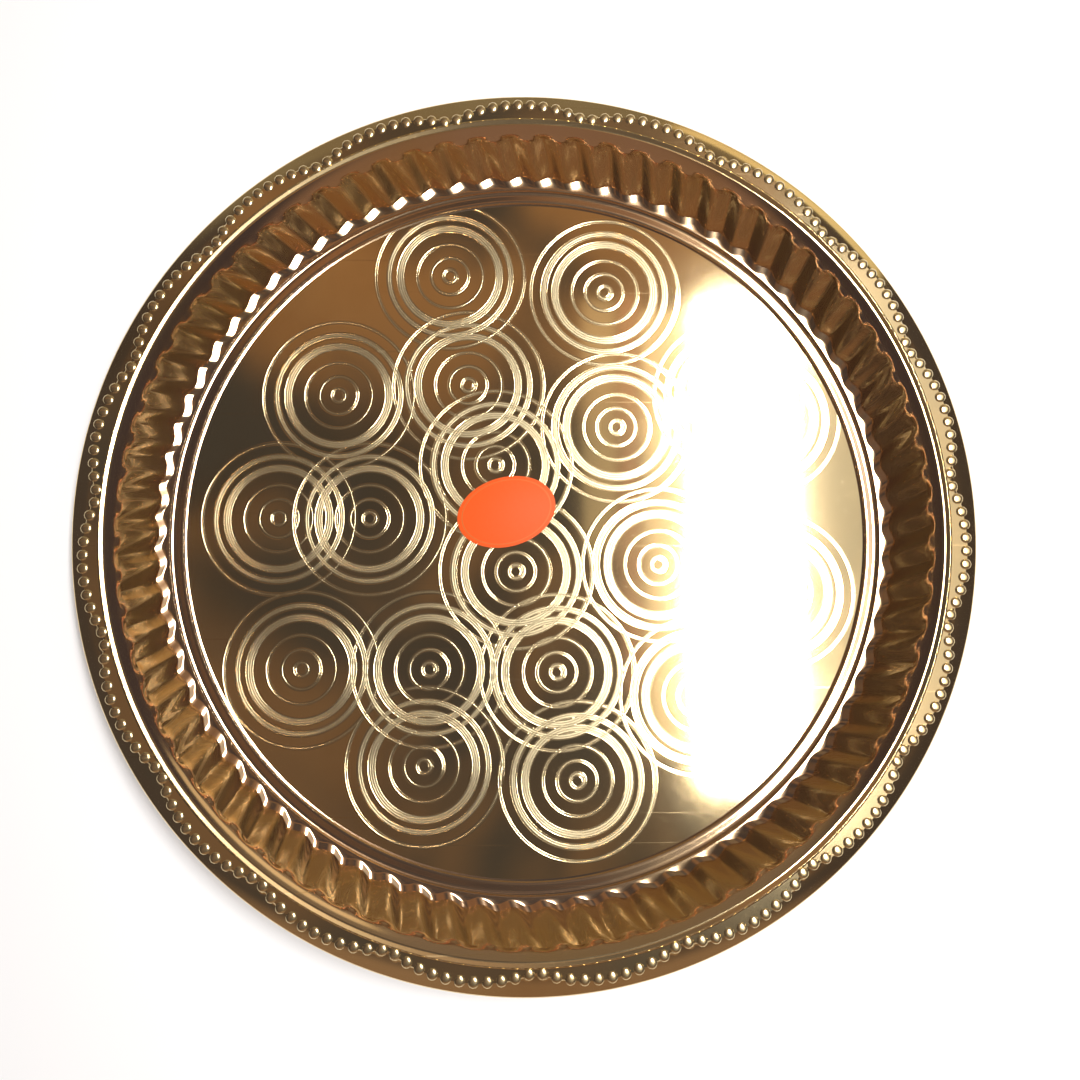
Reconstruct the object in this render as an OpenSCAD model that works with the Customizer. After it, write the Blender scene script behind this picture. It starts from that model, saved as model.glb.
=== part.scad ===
// Thali plate: one pressed brass sheet, drawn as the zones that its creases mark off, and a paper label.
// The axis of the plate is +Z. Z = 0 is the face that the flat floor rests on.

/* [Plate] */
// Outer diameter, over the rolled edge
plate_d = 304.8; // [290:0.1:330]
// Overall height, from the resting face to the top of the ridge
plate_h = 24.5; // [20:0.5:34]
// Thickness of the brass sheet
sheet_t = 0.7; // [0.5:0.05:0.8]

/* [Floor and foot] */
// Diameter of the flat floor, inside the first step
floor_d = 242.4; // [225:0.1:246]
// Height of the inner step, from the floor to the ledge
inner_rise = 0.8; // [0.4:0.1:1.6]
// Height of the outer step, from the ledge to the gutter
outer_rise = 1; // [0.4:0.1:1.6]
// Horizontal run of each step
riser_run = 0.9; // [0.7:0.1:1.5]
// Width of the flat ledge between the steps
ledge_w = 3.5; // [2:0.1:5]
// Width of the flat gutter at the foot of the wall
gutter_w = 0.6; // [0.6:0.1:2]

/* [Fluted wall] */
// Number of flutes round the wall
flutes = 74; // [48:1:74]
// Depth of the creases between flutes at the foot
foot_depth = 1.7; // [1:0.1:2.6]
// Depth of the creases between flutes at the shoulder
shoulder_depth = 1.3; // [0.6:0.1:2]
// Angle in degrees that each flute turns clockwise on its way down
swirl = 2.3; // [0:0.1:4]
// Gap between the gutter's seam and the crowns of the flutes
foot_gap = 0.3; // [0.2:0.1:0.8]
// Radius of the hollow at the foot of the flutes
foot_fillet_r = 2.6; // [1.5:0.1:4]
// Width of the smooth shoulder above the flutes
shoulder_w = 3.4; // [2.5:0.1:5]
// Height of the smooth shoulder above the flutes
shoulder_h = 4; // [3:0.1:6]
// Size of the bevel along the scalloped shoulder edge
shoulder_bevel = 0.6; // [0.3:0.1:0.9]

/* [Beaded rim] */
// Width of the rim, from the crease above the shoulder to the outside
rim_w = 12.3; // [12.2:0.1:13]
// Depth of the crease, below the top of the ridge
crease_depth = 1; // [0.6:0.1:1.6]
// Width of the ridge
ridge_w = 2; // [1.9:0.1:2.1]
// Height of the ridge above the petals
ridge_h = 0.7; // [0.4:0.1:0.7]
// Number of festoons round the rim
festoons = 19; // [17:1:21]
// Number of beads along each festoon
festoon_beads = 11; // [8:1:11]
// Distance from the outside of the plate to the crown of the bead line
crown_inset = 5.7; // [5.2:0.1:6.4]
// Distance from the outside of the plate to the cusps of the bead line
cusp_inset = 9.5; // [8.5:0.1:9.5]
// Diameter of the ball that each bead is pressed with
bead_d = 3.6; // [3:0.1:3.9]
// Height of the beads above the petals
bead_rise = 0.7; // [0.3:0.1:0.8]
// Distance that the petals reach outward past the bead line
bead_seat = 1.5; // [1.5:0.1:1.9]
// Slope in degrees of the outer band beside the ridge
band_start_slope = 4; // [3:1:8]
// Slope in degrees of the outer band where it meets the rolled edge
band_end_slope = 25; // [18:1:32]
// Turn in degrees of the first cusp from +X
cusp_turn = 81.7; // [0:0.1:360]

/* [Rolled edge] */
// Outer radius of the rolled edge
curl_r = 1.5; // [1.2:0.05:1.8]
// Angle in degrees through which the sheet is rolled
curl_wrap = 280; // [200:5:290]

/* [Label] */
// Length of the oval label
label_l = 36; // [20:1:50]
// Width of the oval label
label_w = 25; // [14:1:40]
// Thickness of the label with its glue
label_t = 0.2; // [0.1:0.05:0.4]
// Distance of the label from the centre, along X
label_x = -7; // [-20:0.5:20]
// Distance of the label from the centre, along Y
label_y = 6.5; // [-20:0.5:20]
// Turn of the label in degrees
label_turn = 16; // [0:1:180]

/* [Hidden] */
$fn = 180;
bead_fn = 24;
overrun = 1;
riser_steps = 6;
band_steps = 6;
flute_cols = 4;
fillet_steps = 3;
curl_steps = 6;
under_steps = 18;
label_steps = 72;

plate_r = plate_d / 2;
floor_r = floor_d / 2;
petal_z = plate_h - ridge_h;

// Corners of the sheet's top face, as [radius, height]
floor_edge = [floor_r, sheet_t];
ledge_edge = floor_edge + [riser_run, inner_rise];
ledge_end = ledge_edge + [ledge_w, 0];
gutter_edge = ledge_end + [riser_run, outer_rise];
foot_seam = gutter_edge + [gutter_w, 0];
crease = [plate_r - rim_w, plate_h - crease_depth];
shoulder = crease - [shoulder_w, shoulder_h];
ridge_top = [crease[0] + ridge_w / 2, plate_h];
ridge_end = [crease[0] + ridge_w, petal_z];

// The outer band is an arc between its two slopes, and ends where the rolled edge begins
curl_x = plate_r - curl_r;
band_run = curl_x + curl_r * sin(band_end_slope) - ridge_end[0];
band_r = band_run / (sin(band_end_slope) - sin(band_start_slope));
band_centre = ridge_end - band_r * [sin(band_start_slope), cos(band_start_slope)];
curl_centre = band_centre + (band_r - curl_r) * [sin(band_end_slope), cos(band_end_slope)];

// Rows of the fluted wall along the crowns, from the gutter up to the crease: [radius, height]
flute_foot = foot_seam + [foot_gap, 0];
to_shoulder = shoulder - flute_foot - [0, foot_fillet_r];
wall_slope = atan2(to_shoulder[1], to_shoulder[0]) + asin(foot_fillet_r / norm(to_shoulder));
fillet_path = [for (i = [1:fillet_steps]) let (a = wall_slope * i / fillet_steps)
    flute_foot + foot_fillet_r * [sin(a), 1 - cos(a)]];
bevel_foot = shoulder - shoulder_bevel * [cos(wall_slope), sin(wall_slope)];
bevel_head = shoulder + shoulder_bevel * [1, shoulder_h / shoulder_w];
wall_rows = concat([foot_seam, flute_foot], fillet_path, [bevel_foot, bevel_head, crease]);

// The festoons lie on circles through their crowns and cusps
crown_r = plate_r - crown_inset;
cusp_r = plate_r - cusp_inset;
festoon_half = 180 / festoons;
festoon_c = (crown_r ^ 2 - cusp_r ^ 2) / 2 / (crown_r - cusp_r * cos(festoon_half));
festoon_r = crown_r - festoon_c;
bead_r = bead_d / 2;

// The whole top face from the axis to the rolled edge, and the underside one thickness below it
foot_path = concat([floor_edge], rise(floor_edge, ledge_edge), [ledge_end], rise(ledge_end, gutter_edge));
ridge_path = concat(rise(crease, ridge_top), rise(ridge_top, ridge_end));
sheet_top = concat([[0, sheet_t]], foot_path, wall_rows, ridge_path, band_path());
sheet_under = [for (k = [0:len(sheet_top) - 1]) sheet_top[k] + sheet_t * mitre(sheet_top, k)];
foot_at = 1;
wall_at = foot_at + len(foot_path);
rim_at = wall_at + len(wall_rows) - 1;
rim_end = len(sheet_top) - 1;

// A smooth S-shaped rise or fall from p to q, without p itself
function rise(p, q) = [for (i = [1:riser_steps]) let (s = i / riser_steps)
    [p[0] + (q[0] - p[0]) * s, p[1] + (q[1] - p[1]) * (1 - cos(180 * s)) / 2]];

function band_path() = [for (i = [1:band_steps])
    let (a = band_start_slope + (band_end_slope - band_start_slope) * i / band_steps)
    band_centre + band_r * [sin(a), cos(a)]];

// The direction square to a path and below it, between points j and k
function below(path, j, k) = let (v = path[k] - path[j]) [v[1], -v[0]] / norm(v);

// The offset of point k that keeps the sheet one thickness thick on both sides of it
function mitre(path, k) = let (
    last = len(path) - 1,
    a = k == 0 ? below(path, 0, 1) : below(path, k - 1, k),
    b = k == last ? [-sin(band_end_slope), -cos(band_end_slope)] : below(path, k, k + 1),
    m = k == last ? b : (a + b) / norm(a + b))
    m / (m * b);

function part_of(path, first, last) = [for (k = [first:last]) path[k]];
function reversed(path) = [for (k = [len(path) - 1:-1:0]) path[k]];

// Radius of the bead line at an angle from the middle of its festoon
function bead_line(a) = festoon_c * cos(a) + sqrt(festoon_r ^ 2 - (festoon_c * sin(a)) ^ 2);

// Share of the creases' depth that is left where the shoulder's bevel ends
bevel_fade = 1 - shoulder_bevel / shoulder_w;

// How far row k is up the flutes, from 0 at their foot to 1 at the shoulder
function up_share(k) = max(0, min(1, (wall_rows[k][1] - flute_foot[1]) / (shoulder[1] - flute_foot[1])));
function crease_cut(k) = k == 0 || k == len(wall_rows) - 1 ? 0
    : (foot_depth + (shoulder_depth - foot_depth) * up_share(k))
        * (k == len(wall_rows) - 2 ? bevel_fade : 1);

// One ring of points of the wall: the crowns lie on the row, and the creases between them are cut outward
function wall_ring(path, k) = [for (j = [0:flutes * flute_cols - 1])
    let (u = j / flute_cols, p = path[wall_at + k], turn = 360 * u / flutes + swirl * (up_share(k) - 1),
        r = p[0] + crease_cut(k) * (1 - abs(sin(180 * u))))
    [r * cos(turn), r * sin(turn), p[1]]];

// Part of the sheet, turned round the axis as a true surface
module turned_sheet(first, last) {
    rotate_extrude()
        polygon(concat(part_of(sheet_top, first, last), reversed(part_of(sheet_under, first, last))));
}

module floor() {
    color("goldenrod") turned_sheet(0, foot_at);
}

module stepped_foot() {
    color("darkgoldenrod") turned_sheet(foot_at, wall_at);
}

module fluted_wall() {
    rows = len(wall_rows);
    cols = flutes * flute_cols;
    rings = concat([for (k = [0:rows - 1]) wall_ring(sheet_top, k)],
        [for (k = [rows - 1:-1:0]) wall_ring(sheet_under, k)]);
    count = len(rings);
    points = [for (ring = rings) each ring];
    faces = [for (k = [0:count - 1], j = [0:cols - 1])
        let (next_k = (k + 1) % count, next_j = (j + 1) % cols,
            a = k * cols + j, b = next_k * cols + j, c = next_k * cols + next_j, d = k * cols + next_j)
        each [[a, c, b], [a, d, c]]];
    color("gold") polyhedron(points, faces);
}

// Children at the middle of each festoon
module at_festoons() {
    for (i = [0:festoons - 1]) rotate(cusp_turn + (2 * i + 1) * festoon_half) children();
}

// The rim as a solid form down to form_z, drawn in by d: the ridge, the outer band and the petals
module rim_form(path, d) {
    form_z = sheet_under[rim_end][1] - overrun - d;
    seam_in = sheet_under[rim_at];
    seam_out = sheet_under[rim_end];
    spare = d > 0 ? overrun : 0;
    rotate_extrude() polygon(concat(part_of(path, rim_at, rim_end),
        [seam_out, [seam_out[0] + spare, form_z], [seam_in[0] - spare, form_z], seam_in]));
    translate([0, 0, form_z]) linear_extrude(petal_z - d - form_z) difference() {
        at_festoons() translate([festoon_c, 0]) circle(festoon_r + bead_seat - d);
        circle(ridge_top[0]);
    }
}

module petal_rim() {
    color("gold") difference() {
        rim_form(sheet_top, 0);
        rim_form(sheet_under, sheet_t);
    }
}

// One bead: the cap of a ball, standing on the petals
module bead() {
    translate([0, 0, petal_z]) intersection() {
        translate([0, 0, bead_rise - bead_r]) sphere(bead_r, $fn = bead_fn);
        cylinder(h = bead_d, r = bead_d, $fn = bead_fn);
    }
}

module beads() {
    color("khaki") at_festoons() for (n = [0:festoon_beads - 1]) {
        a = ((2 * n + 1) / festoon_beads - 1) * festoon_half;
        rotate(a) translate([bead_line(a), 0]) bead();
    }
}

// The sheet rolled outward and under from the end of the band, as an arc of points round curl_centre
module rolled_edge() {
    start = 90 - band_end_slope;
    finish = start - curl_wrap;
    turns = concat([for (i = [0:curl_steps - 1]) start * (1 - i / curl_steps)],
        [for (i = [0:under_steps]) finish * i / under_steps]);
    color("darkgoldenrod") rotate_extrude() translate(curl_centre)
        polygon(concat([for (a = turns) curl_r * [cos(a), sin(a)]],
            [for (a = reversed(turns)) (curl_r - sheet_t) * [cos(a), sin(a)]]));
}

module label() {
    color("orangered") translate([label_x, label_y, sheet_t]) rotate(label_turn) linear_extrude(label_t)
        polygon([for (i = [0:label_steps - 1]) let (a = 360 * i / label_steps)
            [label_l * cos(a), label_w * sin(a)] / 2]);
}

floor();
stepped_foot();
fluted_wall();
petal_rim();
beads();
rolled_edge();
label();
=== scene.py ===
"""A round pressed brass thali plate, dressed round its CAD frame."""

import math

import bpy
from mathutils import Matrix, Vector


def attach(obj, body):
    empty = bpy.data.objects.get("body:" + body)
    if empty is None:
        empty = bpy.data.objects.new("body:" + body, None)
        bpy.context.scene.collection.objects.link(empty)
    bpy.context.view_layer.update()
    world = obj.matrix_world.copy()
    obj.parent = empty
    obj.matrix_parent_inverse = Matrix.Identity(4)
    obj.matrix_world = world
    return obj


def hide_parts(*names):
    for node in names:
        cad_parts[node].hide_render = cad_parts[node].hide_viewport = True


bl_info = {
    "name": "Brass thali plate",
    "version": (1, 0, 0),
    "blender": (4, 5, 0),
    "location": "3D View > Sidebar > Thali",
    "description": "Models a pressed brass thali plate with flutes, petals, beads and engine-turned rosettes",
    "category": "Object",
}

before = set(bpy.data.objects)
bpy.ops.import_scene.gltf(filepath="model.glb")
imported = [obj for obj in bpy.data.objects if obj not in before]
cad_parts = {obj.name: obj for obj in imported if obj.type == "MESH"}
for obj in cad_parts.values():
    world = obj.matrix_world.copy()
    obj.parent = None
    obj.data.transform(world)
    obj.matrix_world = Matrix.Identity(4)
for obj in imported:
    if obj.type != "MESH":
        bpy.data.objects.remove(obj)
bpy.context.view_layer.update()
BODY = "root"
MM = 0.001
FULL_TURN = 2 * math.pi
MERGE = 0.004 * MM

# Middles of the engine-turned rosettes on the floor, in millimetres from the middle of the plate
ROSETTES = (
    (-28, 94), (29, 88), (-68, 49), (-21, 53), (33, 37.5), (74, 49), (-11, 23.5), (-88.5, 4), (-56, 4), (87, 41),
    (-3.5, -15), (47.5, -12.5), (90, -22), (-79, -49.5), (-34, -49.5), (11, -50.5), (60.5, -59), (-35.5, -83),
    (18, -88),
)
# Rings of one rosette: radius and width in millimetres, and how strongly the tool has cut
RINGS = ((2.4, 1.3, 0.75), (6.9, 0.9, 0.7), (12.1, 0.8, 0.7), (18.2, 2.6, 1.0), (22.4, 1.8, 0.95), (27.3, 0.9, 0.75))
RING_SOFT = 0.45
ROSETTE_REACH = 30 * MM
# Middle of the label on the floor
LABEL_MIDDLE = (-7 * MM, 6.5 * MM)
# The camera seen from the middle of the plate's top, and the shift that frames the plate
EYE = Vector((-3.25, -31.1, 299.3)) * MM
FRAMING = (0.0124, -0.0158)
# The table in metres, and how far it lies below the plate
TABLE_SIZE = 6
TABLE_GAP = 0.2 * MM


def length(name, default, note):
    """A length of the plate, given in millimetres."""
    return bpy.props.FloatProperty(
        name=name, description=note, default=default * MM, min=0, unit="LENGTH", precision=5)


def share(name, default, note):
    return bpy.props.FloatProperty(name=name, description=note, default=default, min=0, soft_max=1)


def tone(name, default, note):
    return bpy.props.FloatVectorProperty(
        name=name, description=note, default=default, size=3, min=0, max=1, subtype="COLOR")


def turn(name, default, note):
    """An angle, given in degrees."""
    return bpy.props.FloatProperty(name=name, description=note, default=math.radians(default), subtype="ANGLE")


def number(name, default, note):
    return bpy.props.IntProperty(name=name, description=note, default=default, min=1)


class ThaliSheet(bpy.types.PropertyGroup):
    """Sizes of the floor, the foot and the fluted wall."""
    plate_d: length("Outer diameter", 304.8, "Diameter over the rolled edge")
    plate_h: length("Height", 24.5, "Height from the table to the top of the ridge")
    sheet_t: length("Sheet", 0.7, "Thickness of the brass")
    floor_d: length("Floor", 242.4, "Diameter of the flat floor")
    inner_rise: length("Inner step", 0.8, "Rise from the floor to the ledge")
    outer_rise: length("Outer step", 1, "Rise from the ledge to the gutter")
    riser_run: length("Step run", 0.9, "Width of each step's slope")
    riser_slope: turn("Step slope", 24, "Slope of each step's plain part")
    ledge_w: length("Ledge", 3.5, "Width of the ledge between the steps")
    gutter_w: length("Gutter", 0.6, "Width of the gutter at the foot of the wall")
    flutes: number("Flutes", 74, "Flutes round the wall")
    foot_depth: length("Foot depth", 1.7, "Depth of the creases between flutes at their foot")
    shoulder_depth: length("Shoulder depth", 1.0, "Depth of the creases between flutes at the shoulder")
    swirl: turn("Swirl", 2.3, "How far the flutes turn clockwise on their way down")
    foot_gap: length("Foot gap", 0.3, "From the gutter to the crowns of the flutes")
    foot_fillet_r: length("Foot fillet", 2.6, "Radius of the hollow at the foot of the flutes")
    toe_w: length("Toe width", 2.2, "Width of the gentle slope at the foot of each flute")
    toe_slope: turn("Toe slope", 23, "Slope of that foot")
    shoulder_w: length("Shoulder width", 3.4, "Width of the smooth shoulder")
    shoulder_h: length("Shoulder height", 4, "Height of the smooth shoulder")
    shoulder_bulge: length("Shoulder bulge", 0.28, "How far the shoulder's profile is drawn out between its ends")
    scallop_fade: length("Scallop fade", 1.3, "Above the scalloped edge, where the creases end")
    shoulder_bevel: length("Shoulder bevel", 0.6, "Softness of the scalloped edge")


class ThaliRim(bpy.types.PropertyGroup):
    """Sizes of the ridge, the petals, the beads, the rolled edge and the label."""
    rim_w: length("Rim", 12.3, "From the crease above the shoulder to the outside")
    crease_depth: length("Crease", 1, "Depth of the crease below the ridge")
    ridge_w: length("Ridge width", 2, "Width of the ridge")
    ridge_h: length("Ridge height", 0.7, "Height of the ridge above the petals")
    valley_w: length("Valley width", 0.4, "Width of the soft valley between the shoulder and the ridge")
    slope_w: length("Slope width", 1.5, "Width of the ridge's slope that faces the plate's middle")
    slope_angle: turn("Slope", 23.5, "Steepness of that slope")
    ridge_fall: length("Ridge fall", 0.4, "How far past its CAD end the ridge falls to the petals")
    festoons: number("Festoons", 19, "Petals round the rim")
    festoon_beads: number("Beads", 11, "Beads along each petal")
    crown_inset: length("Crown inset", 5.1, "From the outside to the crown of the bead line")
    cusp_inset: length("Cusp inset", 9.3, "From the outside to the cusps of the bead line")
    bead_rise: length("Bead height", 0.55, "Height of the beads above the petals")
    bead_long: share("Bead length", 0.4, "How much longer than wide the flat top of a bead is")
    bead_flat: bpy.props.FloatProperty(
        name="Bead flatness", description="How flat the beads are on top", default=3, min=2)
    bead_reach: length("Bead reach", 1.9, "Length of a bead, outward from the bead line to where it meets the band")
    bead_width: length("Bead width", 3.6, "Width of a bead along the bead line")
    bead_valley: length("Bead valley", 0.7, "How far the petals reach out between two beads")
    petal_round: length("Petal edge", 0.35, "Roundness of the petals' edge")
    band_start_slope: turn("Band start", 4, "Slope of the outer band beside the ridge")
    band_end_slope: turn("Band end", 25, "Slope of the outer band at the rolled edge")
    cusp_turn: turn("First cusp", 81.7, "Turn of the first cusp from +X")
    curl_r: length("Roll radius", 1.5, "Outer radius of the rolled edge")
    curl_wrap: turn("Roll", 280, "How far the sheet is rolled under")
    label_l: length("Label length", 36, "Length of the oval label")
    label_w: length("Label width", 25, "Width of the oval label")
    label_t: length("Label thickness", 0.2, "Thickness of the label with its glue")
    label_turn: turn("Label turn", 16, "Turn of the label")


class ThaliFinish(bpy.types.PropertyGroup):
    """Colours and polish."""
    brass: tone("Brass", (0.88, 0.69, 0.38), "Colour of the polished brass")
    tarnish: tone("Tarnish", (0.70, 0.47, 0.21), "Colour of the brass where it has dulled")
    pressed_brass: tone("Pressed brass", (0.74, 0.53, 0.34), "Colour of the brass where the press has stretched it")
    cut_brass: tone("Cut brass", (0.58, 0.48, 0.29), "Colour of the fresh rings of the rosettes")
    polish: share("Polish", 0.07, "Roughness of the polished brass")
    rim_polish: share("Rim polish", 0.12, "Roughness of the brass of the rim")
    bead_polish: share("Bead polish", 0.24, "Roughness of the beads, worn by handling")
    press: share("Pressed", 0.11, "Roughness of the brass where the press has stretched it")
    wall_press: share("Wall", 0.125, "Roughness of the fluted wall, which polishing reaches less")
    ring_roughness: share("Ring roughness", 0.31, "Roughness of the rings of the rosettes")
    groove_pitch: length("Groove pitch", 0.8, "Distance between the fine grooves of a ring")
    groove_share: share("Groove share", 0.55, "How much of a ring its grooves take")
    groove_slope: share("Groove slope", 0.95, "Steepness of a groove's sides")
    label: tone("Label", (0.80, 0.095, 0.012), "Colour of the label")
    label_edge: tone("Label line", (0.62, 0.14, 0.03), "Colour of the thin line inside the label's edge")
    label_grain: tone("Label grain", (0.66, 0.13, 0.03), "Colour of the paper's faint grain")
    label_polish: share("Label roughness", 0.55, "Roughness of the label")
    label_shine: share("Label shine", 0.2, "How much light the label's coating throws back")
    ground: tone("Ground", (0.92, 0.92, 0.92), "Colour of the table")
    ground_polish: share("Ground roughness", 0.9, "Roughness of the table")


class ThaliStage(bpy.types.PropertyGroup):
    """Camera and light."""
    lens: bpy.props.FloatProperty(name="Lens", description="Focal length in mm on a 36 mm sensor", default=30.15)
    room: tone("Room", (0.060, 0.056, 0.062), "Colour of the dim room that the brass mirrors")
    room_warm: tone("Warm room", (0.34, 0.19, 0.10), "Colour of the room's warm patches")
    room_low: tone("Low room", (0.070, 0.056, 0.060), "Colour of the room near the table")
    far_wall: tone("Far wall", (0.24, 0.20, 0.15), "Colour of the wall behind the plate")
    near_wall: tone("Near wall", (0.27, 0.18, 0.13), "Colour of the wall on the camera's side")
    light: share("Light", 1.0, "Strength of all lamps")


def sheet():
    return bpy.context.scene.thali_sheet


def rim():
    return bpy.context.scene.thali_rim


def finish():
    return bpy.context.scene.thali_finish


def point(r, z):
    return Vector((r, z))


def ray(angle):
    return Vector((math.cos(angle), math.sin(angle)))


def straight(p, q, steps):
    """Points in a line from p to q, without p itself."""
    return [p.lerp(q, i / steps) for i in range(1, steps + 1)]


def bend(p, corner, q, steps):
    """A curve from p to q that is drawn towards one corner, without p itself."""
    made = []
    for i in range(1, steps + 1):
        t = i / steps
        made.append((1 - t) ** 2 * p + 2 * t * (1 - t) * corner + t * t * q)
    return made


def double_bend(p, first, second, q, steps):
    """A curve from p to q that leaves towards one corner and comes in from another, without p itself."""
    made = []
    for i in range(1, steps + 1):
        t = i / steps
        made.append((1 - t) ** 3 * p + 3 * t * (1 - t) ** 2 * first + 3 * t * t * (1 - t) * second + t ** 3 * q)
    return made


def riser(p, q, slope, steps):
    """A step's rise from p to q: a plain slope for most of its width, and a steep rounded end."""
    plain, ease = 0.8, 0.25
    corner = point(p.x + plain * (q.x - p.x), p.y + plain * (q.x - p.x) * math.tan(slope))
    start = corner.lerp(p, ease)
    brow = point(corner.x + 0.5 * (q.x - corner.x), q.y)
    return straight(p, start, 3) + double_bend(start, corner, brow, q, steps)


def corners():
    """The corners of the sheet's top face, as radius and height, by name."""
    s, m = sheet(), rim()
    c = {"middle": point(0, s.sheet_t), "floor_edge": point(s.floor_d / 2, s.sheet_t)}
    c["ledge_edge"] = c["floor_edge"] + point(s.riser_run, s.inner_rise)
    c["ledge_end"] = c["ledge_edge"] + point(s.ledge_w, 0)
    c["gutter_edge"] = c["ledge_end"] + point(s.riser_run, s.outer_rise)
    c["foot_seam"] = c["gutter_edge"] + point(s.gutter_w, 0)
    c["flute_foot"] = c["foot_seam"] + point(s.foot_gap, 0)
    c["crease"] = point(s.plate_d / 2 - m.rim_w, s.plate_h - m.crease_depth)
    c["shoulder"] = c["crease"] - point(s.shoulder_w, s.shoulder_h)
    c["ridge_top"] = point(c["crease"].x + m.ridge_w / 2, s.plate_h)
    c["ridge_end"] = point(c["crease"].x + m.ridge_w, s.plate_h - m.ridge_h)
    run = s.plate_d / 2 - m.curl_r + m.curl_r * math.sin(m.band_end_slope) - c["ridge_end"].x
    band_r = run / (math.sin(m.band_end_slope) - math.sin(m.band_start_slope))
    c["band_centre"] = c["ridge_end"] - band_r * ray(math.pi / 2 - m.band_start_slope)
    c["band_end"] = c["band_centre"] + band_r * ray(math.pi / 2 - m.band_end_slope)
    c["curl_centre"] = c["band_end"] - m.curl_r * ray(math.pi / 2 - m.band_end_slope)
    return c


def object_mode():
    if bpy.context.object and bpy.context.object.mode != "OBJECT":
        bpy.ops.object.mode_set(mode="OBJECT")
    bpy.ops.object.select_all(action="DESELECT")


def edit_all():
    bpy.ops.object.mode_set(mode="EDIT")
    bpy.ops.mesh.select_all(action="SELECT")


def make_active(piece):
    object_mode()
    piece.select_set(True)
    bpy.context.view_layer.objects.active = piece


def face_up(piece):
    """Turn an open sheet's faces over if its innermost face points down."""
    first = min(piece.data.polygons, key=lambda f: (round(f.center.xy.length / MM, 2), f.index))
    if first.normal.z < 0:
        make_active(piece)
        edit_all()
        bpy.ops.mesh.flip_normals()
        bpy.ops.object.mode_set(mode="OBJECT")


def apply_modifier(piece, kind, **settings):
    make_active(piece)
    modifier = piece.modifiers.new(kind.title(), kind)
    for key, value in settings.items():
        setattr(modifier, key, value)
    bpy.ops.object.modifier_apply(modifier=modifier.name)


def give_thickness(piece, angle=40):
    """Make the sheet as thick as the brass, downward from its top face, and shade it smooth up to its creases."""
    apply_modifier(piece, "SOLIDIFY", thickness=sheet().sheet_t, offset=-1, use_even_offset=True, use_rim=True)
    make_active(piece)
    bpy.ops.object.shade_smooth_by_angle(angle=math.radians(angle))


def path_by_hand(name, path):
    """A chain of edges through the path's points, extruded point by point."""
    object_mode()
    bpy.ops.mesh.primitive_plane_add(size=MM, location=(0, 0, 0))
    piece = bpy.context.object
    piece.name = piece.data.name = name
    edit_all()
    bpy.ops.mesh.merge(type="CENTER")
    bpy.ops.transform.translate(value=(path[0].x, 0, path[0].y))
    for p, q in zip(path, path[1:]):
        bpy.ops.mesh.extrude_region_move(TRANSFORM_OT_translate={"value": (q.x - p.x, 0, q.y - p.y)})
    return piece


def turned_sheet(name, path, columns=720):
    """Spin a path round the plate's axis, close it and give it the sheet's thickness."""
    piece = path_by_hand(name, path)
    bpy.ops.mesh.select_all(action="SELECT")
    bpy.ops.mesh.spin(steps=columns, angle=FULL_TURN, center=(0, 0, 0), axis=(0, 0, 1))
    bpy.ops.mesh.select_all(action="SELECT")
    bpy.ops.mesh.remove_doubles(threshold=MERGE)
    bpy.ops.mesh.normals_make_consistent(inside=False)
    bpy.ops.object.mode_set(mode="OBJECT")
    face_up(piece)
    give_thickness(piece)
    return piece


def repeated_patch(name, across, along, place, copies):
    """A grid shaped by place(u, v), with u and v from 0 to 1, set out round the axis in equal turns and joined."""
    object_mode()
    bpy.ops.mesh.primitive_grid_add(x_subdivisions=across, y_subdivisions=along, size=2, location=(0, 0, 0))
    piece = bpy.context.object
    piece.name = piece.data.name = name
    for vertex in piece.data.vertices:
        u, v = (vertex.co.x + 1) / 2, (vertex.co.y + 1) / 2
        vertex.co = place(u, round(v * along))
    edit_all()
    bpy.ops.mesh.spin(steps=copies - 1, dupli=True, angle=FULL_TURN * (copies - 1) / copies,
                      center=(0, 0, 0), axis=(0, 0, 1))
    bpy.ops.mesh.select_all(action="SELECT")
    bpy.ops.mesh.remove_doubles(threshold=MERGE)
    bpy.ops.mesh.normals_make_consistent(inside=False)
    bpy.ops.object.mode_set(mode="OBJECT")
    face_up(piece)
    return piece


def hand_over(piece, node, material):
    """Dress the finished piece, hang it on the plate's body and hide the CAD node whose place it takes."""
    piece.data.materials.clear()
    piece.data.materials.append(material)
    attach(piece, BODY)
    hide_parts(node)


# Materials

def add(tree, kind, **settings):
    made = tree.nodes.new(kind)
    for key, value in settings.items():
        setattr(made, key, value)
    return made


def wire(tree, source, target):
    tree.links.new(source, target)


def maths(tree, operation, first, second=None, third=None):
    """A Math node's result, with each input a number or another node's output."""
    made = add(tree, "ShaderNodeMath", operation=operation)
    for socket, value in zip(made.inputs, (first, second, third)):
        if value is None:
            continue
        if isinstance(value, (int, float)):
            socket.default_value = value
        else:
            wire(tree, value, socket)
    return made.outputs["Value"]


def vectors(tree, operation, first, second=None):
    """A Vector Math node's result: a number for a distance, and else a vector."""
    made = add(tree, "ShaderNodeVectorMath", operation=operation)
    wire(tree, first, made.inputs[0])
    if second is not None:
        wire(tree, second, made.inputs[1])
    return made.outputs["Value" if operation == "DISTANCE" else "Vector"]


def scaled(tree, vector, amount):
    made = add(tree, "ShaderNodeVectorMath", operation="SCALE")
    wire(tree, vector, made.inputs[0])
    wire(tree, amount, made.inputs["Scale"])
    return made.outputs["Vector"]


def wavy_normal(tree, height):
    """The normal of a surface that stands up by a height in millimetres."""
    bump = add(tree, "ShaderNodeBump")
    bump.inputs["Strength"].default_value = 1
    bump.inputs["Distance"].default_value = MM
    wire(tree, height, bump.inputs["Height"])
    return bump.outputs["Normal"]


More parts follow.
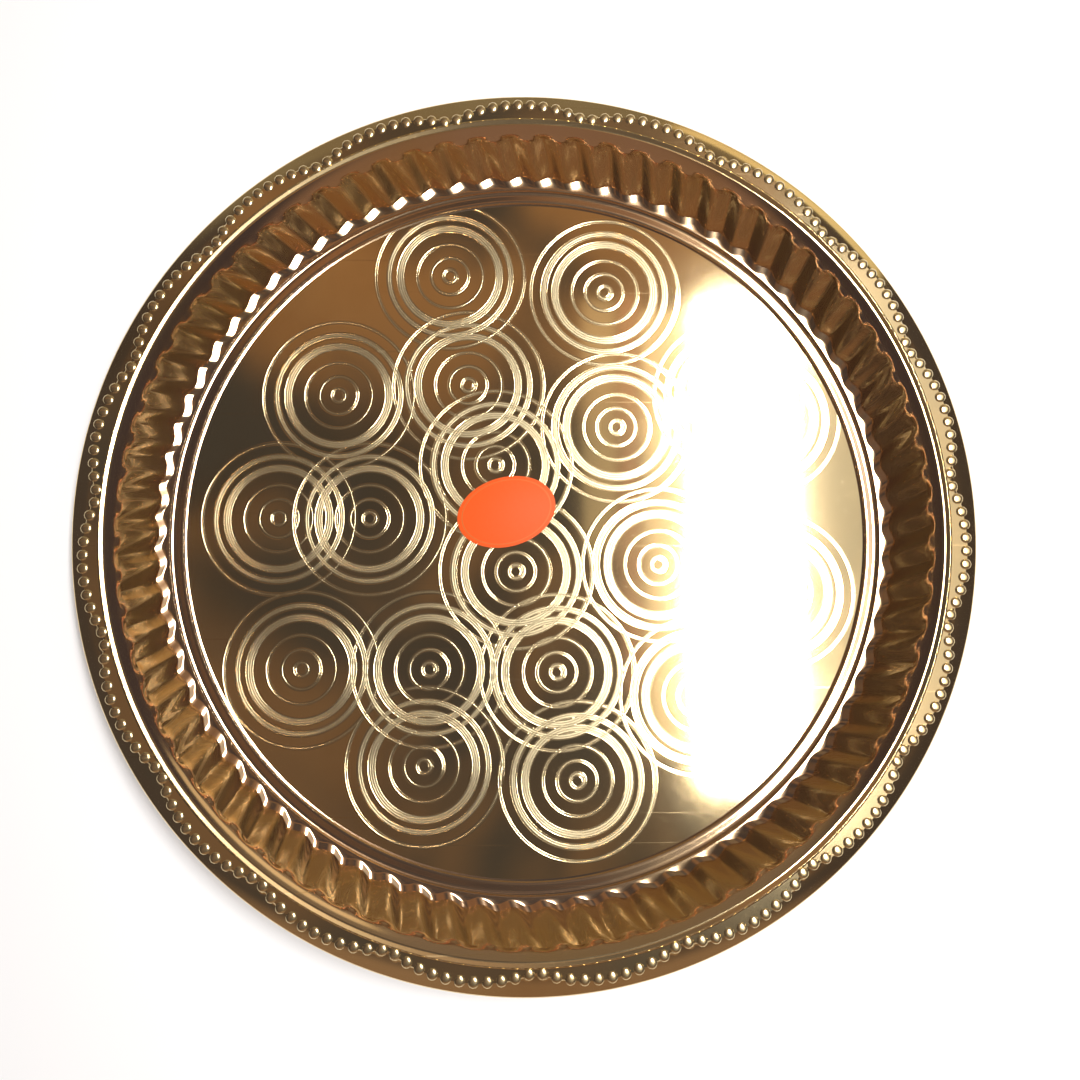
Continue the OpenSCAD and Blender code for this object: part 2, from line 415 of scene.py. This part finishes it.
def stretch(tree, value, low, high, to_low, to_high, smooth=False):
    """A value mapped from one range to another and held inside it."""
    made = add(tree, "ShaderNodeMapRange", interpolation_type="SMOOTHSTEP" if smooth else "LINEAR")
    wire(tree, value, made.inputs["Value"])
    for key, number_given in (("From Min", low), ("From Max", high), ("To Min", to_low), ("To Max", to_high)):
        made.inputs[key].default_value = number_given
    return made.outputs["Result"]


def noise(tree, place, scale, detail=3, distortion=0, roughness=0.5):
    made = add(tree, "ShaderNodeTexNoise")
    wire(tree, place, made.inputs["Vector"])
    made.inputs["Scale"].default_value = scale
    made.inputs["Detail"].default_value = detail
    made.inputs["Roughness"].default_value = roughness
    made.inputs["Distortion"].default_value = distortion
    return made.outputs["Fac"]


def blend_colours(tree, amount, first, second):
    made = add(tree, "ShaderNodeMix", data_type="RGBA")
    wire(tree, amount, made.inputs["Factor"])
    for socket, value in ((made.inputs[6], first), (made.inputs[7], second)):
        if hasattr(value, "links"):
            wire(tree, value, socket)
        else:
            socket.default_value = (*value, 1)
    return made.outputs[2]


def shader_group(name, inputs, outputs):
    """An empty node group with named inputs (name, kind, value) and outputs (name, kind)."""
    group = bpy.data.node_groups.new(name, "ShaderNodeTree")
    for label, kind, value in inputs:
        group.interface.new_socket(name=label, in_out="INPUT", socket_type=kind).default_value = value
    for label, kind in outputs:
        group.interface.new_socket(name=label, in_out="OUTPUT", socket_type=kind)
    return group, add(group, "NodeGroupInput"), add(group, "NodeGroupOutput")


def wear_group():
    """Handling marks of polished brass: a faint tone, a roughness and a height, all from the place on the plate."""
    group, given, result = shader_group(
        "Brass wear",
        (("Place", "NodeSocketVector", (0, 0, 0)), ("Polish", "NodeSocketFloat", 0.07),
         ("Wave", "NodeSocketFloat", 0.05)),
        (("Dull", "NodeSocketFloat"), ("Roughness", "NodeSocketFloat"), ("Height", "NodeSocketFloat")))
    place = given.outputs["Place"]
    smudge_scale, speck_scale, wave_scale = 22, 700, 26
    scratch_turn, scratch_scale = 0.7, (12, 900, 12)
    smudge = stretch(group, noise(group, place, smudge_scale, detail=4), 0.45, 0.75, 0, 1)
    speck = stretch(group, noise(group, place, speck_scale, detail=2), 0.6, 0.8, 0, 1)
    scratch_map = add(group, "ShaderNodeMapping")
    scratch_map.inputs["Rotation"].default_value = (0, 0, scratch_turn)
    scratch_map.inputs["Scale"].default_value = scratch_scale
    wire(group, place, scratch_map.inputs["Vector"])
    scratch = stretch(group, noise(group, scratch_map.outputs["Vector"], 1, detail=1), 0.70, 0.78, 0, 1)
    dull = maths(group, "ADD", maths(group, "MULTIPLY", smudge, 0.6), maths(group, "MULTIPLY", scratch, 0.3))
    wire(group, maths(group, "MINIMUM", dull, 1), result.inputs["Dull"])
    rough = maths(group, "ADD", given.outputs["Polish"], maths(group, "MULTIPLY", smudge, 0.035))
    rough = maths(group, "ADD", rough, maths(group, "MULTIPLY", scratch, 0.05))
    rough = maths(group, "ADD", rough, maths(group, "MULTIPLY", speck, 0.02))
    wire(group, rough, result.inputs["Roughness"])
    wave = maths(group, "MULTIPLY", noise(group, place, wave_scale, detail=1), given.outputs["Wave"])
    wire(group, wave, result.inputs["Height"])
    return group


def rosette_group():
    """One engine-turned rosette round a middle: how strongly it is cut here, and how its grooves tilt the brass."""
    group, given, result = shader_group(
        "Rosette",
        (("Place", "NodeSocketVector", (0, 0, 0)), ("Middle", "NodeSocketVector", (0, 0, 0))),
        (("Cut", "NodeSocketFloat"), ("Tilt", "NodeSocketVector")))
    place, middle = given.outputs["Place"], given.outputs["Middle"]
    away = vectors(group, "DISTANCE", place, middle)
    ramp = add(group, "ShaderNodeValToRGB")
    stops = ramp.color_ramp.elements
    stops[0].position, stops[0].color = 0, (0, 0, 0, 1)
    stops[1].position, stops[1].color = 1, (0, 0, 0, 1)
    for radius, width, cut in RINGS:
        for offset, value in ((-width / 2 - RING_SOFT, 0), (-width / 2 + RING_SOFT, cut),
                              (width / 2 - RING_SOFT, cut), (width / 2 + RING_SOFT, 0)):
            # A narrow ring is strongest at its middle, so its inner stops are drawn together there
            if abs(offset) < RING_SOFT and value:
                offset = 0.01 * offset
            stop = stops.new((radius + offset) * MM / ROSETTE_REACH)
            stop.color = (value, value, value, 1)
    wire(group, maths(group, "DIVIDE", away, ROSETTE_REACH), ramp.inputs["Fac"])
    cut = ramp.outputs["Color"]
    wire(group, cut, result.inputs["Cut"])
    phase = maths(group, "FRACT", maths(group, "DIVIDE", away, finish().groove_pitch))
    side = stretch(group, phase, 0, finish().groove_share, 1, -1)
    inside = maths(group, "LESS_THAN", phase, finish().groove_share)
    lean = maths(group, "MULTIPLY", maths(group, "MULTIPLY", side, inside), cut)
    outward = vectors(group, "NORMALIZE", vectors(group, "SUBTRACT", place, middle))
    wire(group, scaled(group, outward, lean), result.inputs["Tilt"])
    return group


def use_group(tree, group, **values):
    made = add(tree, "ShaderNodeGroup", node_tree=group)
    for key, value in values.items():
        if hasattr(value, "links"):
            wire(tree, value, made.inputs[key])
        else:
            made.inputs[key].default_value = value
    return made


def start_material(name, metallic):
    material = bpy.data.materials.new(name)
    material.use_nodes = True
    tree = material.node_tree
    shader = tree.nodes["Principled BSDF"]
    shader.inputs["Metallic"].default_value = metallic
    place = add(tree, "ShaderNodeTexCoord").outputs["Object"]
    return material, tree, shader, place


def brass_material(name, polish, brass):
    """Polished brass with faint handling marks."""
    if name in bpy.data.materials:
        return bpy.data.materials[name]
    f = finish()
    material, tree, shader, place = start_material(name, 1)
    group = bpy.data.node_groups.get("Brass wear") or wear_group()
    wear = use_group(tree, group, Place=place, Polish=polish, Wave=0.03)
    wire(tree, blend_colours(tree, wear.outputs["Dull"], brass, f.tarnish), shader.inputs["Base Color"])
    wire(tree, wear.outputs["Roughness"], shader.inputs["Roughness"])
    wire(tree, wavy_normal(tree, wear.outputs["Height"]), shader.inputs["Normal"])
    return material


def rim_brass():
    return brass_material("Rim brass", finish().rim_polish, finish().brass)


def rosette_material():
    """The floor's brass, with the engine-turned rosettes on its top face."""
    f = finish()
    material, tree, shader, place = start_material("Rosette brass", 1)
    group = bpy.data.node_groups.get("Brass wear") or wear_group()
    wear = use_group(tree, group, Place=place, Polish=f.polish, Wave=0.05)
    rosette = rosette_group()
    cut = tilt = None
    for x, y in ROSETTES:
        one = use_group(tree, rosette, Place=place, Middle=(x * MM, y * MM, sheet().sheet_t))
        cut = one.outputs["Cut"] if cut is None else maths(tree, "MAXIMUM", cut, one.outputs["Cut"])
        tilt = one.outputs["Tilt"] if tilt is None else vectors(tree, "ADD", tilt, one.outputs["Tilt"])
    split = add(tree, "ShaderNodeSeparateXYZ")
    wire(tree, place, split.inputs["Vector"])
    top = maths(tree, "GREATER_THAN", split.outputs["Z"], sheet().sheet_t / 2)
    cut = maths(tree, "MULTIPLY", cut, top)
    brass = blend_colours(tree, wear.outputs["Dull"], f.brass, f.tarnish)
    wire(tree, blend_colours(tree, cut, brass, f.cut_brass), shader.inputs["Base Color"])
    extra = maths(tree, "MULTIPLY", cut, f.ring_roughness - f.polish)
    wire(tree, maths(tree, "ADD", wear.outputs["Roughness"], extra), shader.inputs["Roughness"])
    lean = scaled(tree, tilt, maths(tree, "MULTIPLY", top, f.groove_slope))
    grooved = vectors(tree, "ADD", wavy_normal(tree, wear.outputs["Height"]), lean)
    wire(tree, vectors(tree, "NORMALIZE", grooved), shader.inputs["Normal"])
    return material


def label_material():
    """Gloss-coated paper in one plain colour, with a thin line inside its edge."""
    f, m = finish(), rim()
    material, tree, shader, place = start_material("Label paper", 0)
    mapping = add(tree, "ShaderNodeMapping", vector_type="TEXTURE")
    mapping.inputs["Location"].default_value = (*LABEL_MIDDLE, 0)
    mapping.inputs["Rotation"].default_value = (0, 0, m.label_turn)
    mapping.inputs["Scale"].default_value = (m.label_l / 2, m.label_w / 2, 1)
    wire(tree, place, mapping.inputs["Vector"])
    split = add(tree, "ShaderNodeSeparateXYZ")
    wire(tree, mapping.outputs["Vector"], split.inputs["Vector"])
    out = maths(tree, "SQRT", maths(tree, "ADD", maths(tree, "POWER", split.outputs["X"], 2),
                                    maths(tree, "POWER", split.outputs["Y"], 2)))
    inner, outer, soft = 0.885, 0.92, 0.01
    line = maths(tree, "MULTIPLY", stretch(tree, out, inner, inner + soft, 0, 1),
                 stretch(tree, out, outer - soft, outer, 1, 0))
    grain = stretch(tree, noise(tree, place, 900, detail=2), 0.3, 0.7, 0, 0.12)
    colour = blend_colours(tree, line, f.label, f.label_edge)
    wire(tree, blend_colours(tree, grain, colour, f.label_grain), shader.inputs["Base Color"])
    shader.inputs["Roughness"].default_value = f.label_polish
    shader.inputs["Specular IOR Level"].default_value = f.label_shine
    return material


class THALI_OT_floor(bpy.types.Operator):
    """Turn the flat floor with its rosettes"""
    bl_idname = "thali.floor"
    bl_label = "Floor"

    def execute(self, context):
        c = corners()
        path = [c["middle"]] + straight(c["middle"], c["floor_edge"], 12)
        piece = turned_sheet("floor_pan", path, columns=360)
        hand_over(piece, "floor", rosette_material())
        return {"FINISHED"}


class THALI_OT_foot(bpy.types.Operator):
    """Turn the two low steps and the ledge between them"""
    bl_idname = "thali.foot"
    bl_label = "Stepped foot"
    riser_steps: number("Steps", 10, "Rings of faces on each riser")

    def execute(self, context):
        c = corners()
        slope = sheet().riser_slope
        path = [c["floor_edge"], *riser(c["floor_edge"], c["ledge_edge"], slope, self.riser_steps),
                *straight(c["ledge_edge"], c["ledge_end"], 3),
                *riser(c["ledge_end"], c["gutter_edge"], slope, self.riser_steps), c["foot_seam"]]
        piece = turned_sheet("foot_steps", path)
        f = finish()
        hand_over(piece, "stepped_foot", brass_material("Pressed brass", f.press, f.pressed_brass))
        return {"FINISHED"}


def wall_rows():
    """Radius and height of the flutes' crowns, from the gutter up to the crease."""
    s, c = sheet(), corners()
    toe_steps, hollow_steps, side_steps, bevel_steps, shoulder_steps = 5, 6, 8, 4, 7
    hollow_pull = 0.55
    foot, shoulder = c["flute_foot"], c["shoulder"]
    up = shoulder - foot - point(0, s.foot_fillet_r)
    slope = math.atan2(up.y, up.x) + math.asin(s.foot_fillet_r / up.length)
    rows = [c["foot_seam"], foot]
    toe = foot + s.toe_w * point(1, math.tan(s.toe_slope))
    heel = foot + s.foot_fillet_r * point(math.sin(slope), 1 - math.cos(slope))
    hollow = heel - ray(slope) * ((heel.y - toe.y) / math.sin(slope) * hollow_pull)
    rows += straight(foot, toe, toe_steps)
    rows += bend(toe, hollow, heel, hollow_steps)
    bevel_foot = shoulder - s.shoulder_bevel * ray(slope)
    rows += straight(heel, bevel_foot, side_steps)
    bevel_head = shoulder + s.shoulder_bevel * point(1, s.shoulder_h / s.shoulder_w)
    rows += bend(bevel_foot, shoulder, bevel_head, bevel_steps)
    side = (c["crease"] - bevel_head).normalized()
    bulge = bevel_head.lerp(c["crease"], 0.5) + s.shoulder_bulge * point(-side.y, side.x)
    rows += bend(bevel_head, bulge, c["crease"], shoulder_steps)
    return rows


def flute_place(rows):
    """The place of a point of one flute: u runs across it, k up its rows."""
    s, c = sheet(), corners()
    foot, shoulder = c["flute_foot"], c["shoulder"]
    foot_soft, shoulder_soft, fade_power = 0.9, 0.12, 1.5

    def place(u, k):
        p = rows[k]
        up = max(0, min(1, (p.y - foot.y) / (shoulder.y - foot.y)))
        cut = s.foot_depth + (s.shoulder_depth - s.foot_depth) * up
        if k == 0:
            cut = 0
        if p.x > shoulder.x:
            cut *= max(0, 1 - (p.x - shoulder.x) / s.scallop_fade) ** fade_power
        soft = foot_soft + (shoulder_soft - foot_soft) * up
        bulge = (math.hypot(math.sin(math.pi * u), soft) - soft) / (math.hypot(1, soft) - soft)
        r = p.x + cut * (1 - bulge)
        along = max(0, min(1, (p.x - foot.x) / (shoulder.x - foot.x)))
        a = FULL_TURN * u / s.flutes + s.swirl * (along - 1)
        return Vector((r * math.cos(a), r * math.sin(a), p.y))

    return place


class THALI_OT_flutes(bpy.types.Operator):
    """Shape one flute and set it out round the wall"""
    bl_idname = "thali.flutes"
    bl_label = "Fluted wall"
    across: number("Across", 16, "Faces across each flute")

    def execute(self, context):
        rows = wall_rows()
        piece = repeated_patch("flutes", self.across, len(rows) - 1, flute_place(rows), sheet().flutes)
        give_thickness(piece)
        f = finish()
        hand_over(piece, "fluted_wall", brass_material("Fluted brass", f.wall_press, f.pressed_brass))
        return {"FINISHED"}


class Festoon:
    """The circles that the bead line and the petals' edge follow."""

    def __init__(self):
        s, m = sheet(), rim()
        self.half = math.pi / m.festoons
        crown, cusp = s.plate_d / 2 - m.crown_inset, s.plate_d / 2 - m.cusp_inset
        self.centre = (crown ** 2 - cusp ** 2) / 2 / (crown - cusp * math.cos(self.half))
        self.radius = crown - self.centre

    def line(self, angle, out=0):
        """Radius of the line at an angle from the middle of its festoon, moved outward by out."""
        return (self.centre * math.cos(angle)
                + math.sqrt((self.radius + out) ** 2 - (self.centre * math.sin(angle)) ** 2))

    def bead_edge(self, angle):
        """Radius of the petals' edge, which bulges round each bead and draws in between them."""
        m = rim()
        step = 2 * self.half / m.festoon_beads
        past = (angle + self.half) / step - 0.5
        aside = abs(past - round(past)) * step * self.line(angle)
        bulge = math.sqrt(max(0, m.bead_reach ** 2 - aside ** 2))
        return self.line(angle) + max(m.bead_valley, bulge)


def band_height(r, c):
    radius = (c["ridge_end"] - c["band_centre"]).length
    return c["band_centre"].y + math.sqrt(max(0, radius ** 2 - (r - c["band_centre"].x) ** 2))


def petal_place(festoon, petal_rows, edge_rows, band_rows):
    """The place of a point of one petal: u runs across it, k outward from the ridge."""
    m, c = rim(), corners()
    start, soft = c["ridge_end"] + point(m.ridge_fall, 0), m.petal_round

    def place(u, k):
        angle = (2 * u - 1) * festoon.half
        edge = festoon.bead_edge(angle)
        low = band_height(edge, c)
        if k <= petal_rows:
            p = point(start.x + (edge - soft - start.x) * k / petal_rows, start.y)
        elif k <= petal_rows + edge_rows:
            t = (k - petal_rows) / edge_rows * math.pi / 2
            p = point(edge - soft * math.cos(t), low + (start.y - low) * math.cos(t))
        else:
            t = (k - petal_rows - edge_rows) / band_rows
            r = edge + (c["band_end"].x - edge) * t
            p = point(r, band_height(r, c))
        a = angle + festoon.half + m.cusp_turn
        return Vector((p.x * math.cos(a), p.x * math.sin(a), p.y))

    return place


def ridge_rows(steps):
    """The ridge: from the crease a plain slope that faces the middle, then a soft top that falls to the petals."""
    m, c = rim(), corners()
    crease, end = c["crease"], c["ridge_end"]
    valley = crease + point(m.valley_w, 0)
    top = valley + m.slope_w * point(1, math.tan(m.slope_angle))
    last = point(end.x + m.ridge_fall, end.y)
    ease = 0.12
    start, near = valley.lerp(top, ease), top.lerp(valley, ease)
    brow = point(top.x + m.ridge_fall / 4, end.y)
    rows = [crease] + bend(crease, valley, start, 3) + straight(start, near, steps)
    return rows + double_bend(near, top, brow, last, steps)


class THALI_OT_ridge(bpy.types.Operator):
    """Turn the smooth ridge between the shoulder and the petals"""
    bl_idname = "thali.ridge"
    bl_label = "Ridge"
    rows: number("Rows", 7, "Rings of faces on each side of the ridge")

    def execute(self, context):
        piece = turned_sheet("rim_ridge", ridge_rows(self.rows))
        hand_over(piece, "petal_rim", rim_brass())
        return {"FINISHED"}


class THALI_OT_petals(bpy.types.Operator):
    """Shape one petal with its part of the outer band, and set it out round the rim"""
    bl_idname = "thali.petals"
    bl_label = "Petals"
    across: number("Across", 110, "Faces across each petal")
    petal_rows: number("Petal rows", 3, "Rows of faces on a petal")
    edge_rows: number("Edge rows", 4, "Rows of faces on the petal's edge")
    band_rows: number("Band rows", 8, "Rows of faces on the outer band")

    def execute(self, context):
        place = petal_place(Festoon(), self.petal_rows, self.edge_rows, self.band_rows)
        along = self.petal_rows + self.edge_rows + self.band_rows
        piece = repeated_patch("rim_petals", self.across, along, place, rim().festoons)
        give_thickness(piece, angle=50)
        hand_over(piece, "petal_rim", rim_brass())
        return {"FINISHED"}


class THALI_OT_beads(bpy.types.Operator):
    """Press one bead and set it out along the petals"""
    bl_idname = "thali.beads"
    bl_label = "Beads"
    segments: number("Segments", 12, "Faces round each bead")
    # How far in each ring of a bead lies from the ring outside it, as a share of its radius
    INSETS = (0.1, 0.15, 0.17, 0.22)

    def execute(self, context):
        s, m, festoon = sheet(), rim(), Festoon()
        flat = s.plate_h - m.ridge_h
        object_mode()
        bpy.ops.mesh.primitive_circle_add(vertices=self.segments, radius=1, fill_type="NGON", location=(0, 0, 0))
        bead = bpy.context.object
        edit_all()
        for inward in self.INSETS:
            bpy.ops.mesh.inset(thickness=inward, depth=0)
        bpy.ops.object.mode_set(mode="OBJECT")
        for vertex in bead.data.vertices:
            out = min(1, vertex.co.xy.length)
            reach = m.bead_reach * (1 + m.bead_long * (1 - out))
            height = m.bead_rise * (1 - out ** m.bead_flat)
            vertex.co = (vertex.co.x * reach, vertex.co.y * m.bead_width / 2, flat + height)
        make_active(bead)
        bpy.ops.object.shade_smooth_by_angle(angle=math.radians(50))
        copies = []
        for i in range(m.festoons):
            middle = m.cusp_turn + (2 * i + 1) * festoon.half
            for n in range(m.festoon_beads):
                a = ((2 * n + 1) / m.festoon_beads - 1) * festoon.half
                copy = bead.copy()
                copy.data = bead.data.copy()
                copy.data.transform(Matrix.Rotation(middle + a, 4, "Z") @ Matrix.Translation((festoon.line(a), 0, 0)))
                context.collection.objects.link(copy)
                copies.append(copy)
        bpy.data.objects.remove(bead)
        object_mode()
        for copy in copies:
            copy.select_set(True)
        context.view_layer.objects.active = copies[0]
        bpy.ops.object.join()
        piece = context.object
        piece.name = piece.data.name = "rim_beads"
        hand_over(piece, "beads", brass_material("Bead brass", finish().bead_polish, finish().brass))
        return {"FINISHED"}


class THALI_OT_rolled_edge(bpy.types.Operator):
    """Roll the outer edge under"""
    bl_idname = "thali.rolled_edge"
    bl_label = "Rolled edge"
    roll_steps: number("Steps", 30, "Faces round the roll")

    def execute(self, context):
        m, c = rim(), corners()
        start = math.pi / 2 - m.band_end_slope
        path = [c["curl_centre"] + m.curl_r * ray(start - m.curl_wrap * i / self.roll_steps)
                for i in range(self.roll_steps + 1)]
        piece = turned_sheet("rim_roll", path)
        hand_over(piece, "rolled_edge", rim_brass())
        return {"FINISHED"}


class THALI_OT_label(bpy.types.Operator):
    """Cut the plain oval label and stick it on the floor"""
    bl_idname = "thali.label"
    bl_label = "Label"

    def execute(self, context):
        s, m = sheet(), rim()
        object_mode()
        x, y = LABEL_MIDDLE
        bpy.ops.mesh.primitive_cylinder_add(vertices=96, radius=1, depth=1, location=(0, 0, 0))
        piece = context.object
        piece.name = piece.data.name = "oval_label"
        edit_all()
        bpy.ops.transform.resize(value=(m.label_l / 2, m.label_w / 2, m.label_t))
        bpy.ops.object.mode_set(mode="OBJECT")
        apply_modifier(piece, "BEVEL", width=0.06 * MM, segments=2, limit_method="ANGLE")
        make_active(piece)
        bpy.ops.object.shade_smooth_by_angle(angle=math.radians(40))
        piece.data.transform(Matrix.Translation((x, y, s.sheet_t + m.label_t / 2))
                             @ Matrix.Rotation(m.label_turn, 4, "Z"))
        hand_over(piece, "label", label_material())
        return {"FINISHED"}


# Stage

def softbox(name, middle, aim, width, height, radiance, colour=(1, 1, 1)):
    """A plain rectangular lamp that looks at a point, with its brightness given as radiance."""
    light = bpy.data.lights.new(name, "AREA")
    light.shape = "RECTANGLE"
    light.size, light.size_y = width, height
    light.color = colour
    light.energy = radiance * math.pi * width * height * bpy.context.scene.thali_stage.light
    lamp = bpy.data.objects.new(name, light)
    bpy.context.scene.collection.objects.link(lamp)
    lamp.location = middle
    lamp.visible_camera = False
    lamp.rotation_euler = (Vector(aim) - Vector(middle)).to_track_quat("-Z", "Y").to_euler()
    return lamp


def room_world(scene, stage):
    """A dim brown room round the plate, in soft patches by direction."""
    world = bpy.data.worlds.new("Room")
    scene.world = world
    world.use_nodes = True
    tree = world.node_tree
    back = tree.nodes["Background"]
    place = add(tree, "ShaderNodeTexCoord").outputs["Generated"]
    patches = stretch(tree, noise(tree, place, 4.2, detail=4, distortion=1.0), 0.42, 0.62, 0, 1, smooth=True)
    split = add(tree, "ShaderNodeSeparateXYZ")
    wire(tree, place, split.inputs["Vector"])
    back_wall = stretch(tree, split.outputs["Y"], 0.1, 0.45, 0, 1, smooth=True)
    amount = maths(tree, "MULTIPLY", maths(tree, "ADD", maths(tree, "MULTIPLY", back_wall, 0.6), 0.4), patches)
    amount = maths(tree, "MULTIPLY", amount, stretch(tree, split.outputs["Z"], 0.45, 0.75, 0, 1, smooth=True))
    colour = blend_colours(tree, amount, stage.room, stage.room_warm)
    low = stretch(tree, split.outputs["Z"], 0.45, 0.85, 1, 0, smooth=True)
    colour = blend_colours(tree, maths(tree, "MULTIPLY", low, 0.75), colour, stage.room_low)
    wall_start, wall_full = 0.62, 0.82
    far = stretch(tree, split.outputs["Y"], wall_start, wall_full, 0, 1, smooth=True)
    near = stretch(tree, split.outputs["Y"], -wall_start, -wall_full, 0, 1, smooth=True)
    colour = blend_colours(tree, far, colour, stage.far_wall)
    colour = blend_colours(tree, near, colour, stage.near_wall)
    wire(tree, colour, back.inputs["Color"])


class THALI_OT_stage(bpy.types.Operator):
    """Set up the table, the soft light and the camera"""
    bl_idname = "thali.stage"
    bl_label = "Stage"

    def execute(self, context):
        stage = context.scene.thali_stage
        object_mode()
        bpy.ops.mesh.primitive_plane_add(size=TABLE_SIZE, location=(0, 0, -TABLE_GAP))
        table = context.object
        table.name = "table"
        top, _, shader, _ = start_material("Table", 0)
        shader.inputs["Base Color"].default_value = (*finish().ground, 1)
        shader.inputs["Roughness"].default_value = finish().ground_polish
        table.data.materials.append(top)

        room_world(context.scene, stage)
        softbox("window", (0.334, 0.086, 1.0), (0.334, 0.086, 0), 0.122, 0.708, 60)
        softbox("curtain", (0.228, 0.1, 1.01), (0.228, 0.1, 0), 0.084, 0.66, 0.75, (1.0, 0.85, 0.62))
        softbox("drape", (0.166, 0.16, 1.01), (0.166, 0.16, 0), 0.03, 0.6, 0.32, (1.0, 0.55, 0.4))
        softbox("far_curtain", (0.12, 0.26, 1.01), (0.12, 0.26, 0), 0.05, 0.38, 0.35, (1.0, 0.85, 0.6))
        softbox("blind", (0.5, 0.05, 0.82), (0, 0.05, 0.5), 0.8, 0.5, 0.5, (1.0, 0.97, 0.92))
        softbox("gold_wall", (0.6, 0.85, 0.29), (0, 0, 0), 0.6, 0.2, 0.75, (1.0, 0.84, 0.5))

        camera = bpy.data.objects.new("camera", bpy.data.cameras.new("camera"))
        context.scene.collection.objects.link(camera)
        target = Vector((0, 0, sheet().plate_h))
        eye = target + EYE
        back_axis = (eye - target).normalized()
        right = Vector((0, 1, 0)).cross(back_axis).normalized()
        up = back_axis.cross(right)
        camera.matrix_world = Matrix.Translation(eye) @ Matrix((right, up, back_axis)).transposed().to_4x4()
        camera.data.sensor_width = 36
        camera.data.lens = stage.lens
        camera.data.shift_x, camera.data.shift_y = FRAMING
        camera.data.clip_start = 0.01
        context.scene.camera = camera
        context.scene.view_settings.view_transform = "Standard"
        return {"FINISHED"}


class THALI_PT_panel(bpy.types.Panel):
    """Buttons for the pieces of the plate"""
    bl_label = "Thali"
    bl_idname = "THALI_PT_panel"
    bl_space_type = "VIEW_3D"
    bl_region_type = "UI"
    bl_category = "Thali"

    def draw(self, context):
        for operator in OPERATORS:
            self.layout.operator(operator.bl_idname)
        for group_name in GROUPS:
            group = getattr(context.scene, group_name)
            for key in group.bl_rna.properties.keys():
                if key not in ("rna_type", "name"):
                    self.layout.prop(group, key)


GROUPS = {"thali_sheet": ThaliSheet, "thali_rim": ThaliRim, "thali_finish": ThaliFinish, "thali_stage": ThaliStage}
OPERATORS = (THALI_OT_floor, THALI_OT_foot, THALI_OT_flutes, THALI_OT_ridge, THALI_OT_petals, THALI_OT_beads,
             THALI_OT_rolled_edge, THALI_OT_label, THALI_OT_stage)


def register():
    for group in GROUPS.values():
        bpy.utils.register_class(group)
    for key, group in GROUPS.items():
        setattr(bpy.types.Scene, key, bpy.props.PointerProperty(type=group))
    for operator in OPERATORS:
        bpy.utils.register_class(operator)
    bpy.utils.register_class(THALI_PT_panel)


def unregister():
    bpy.utils.unregister_class(THALI_PT_panel)
    for operator in reversed(OPERATORS):
        bpy.utils.unregister_class(operator)
    for key, group in reversed(GROUPS.items()):
        delattr(bpy.types.Scene, key)
        bpy.utils.unregister_class(group)


def main():
    register()
    bpy.ops.thali.floor()
    bpy.ops.thali.foot()
    bpy.ops.thali.flutes()
    bpy.ops.thali.ridge()
    bpy.ops.thali.petals()
    bpy.ops.thali.beads()
    bpy.ops.thali.rolled_edge()
    bpy.ops.thali.label()
    bpy.ops.thali.stage()


if __name__ == "__main__":
    main()
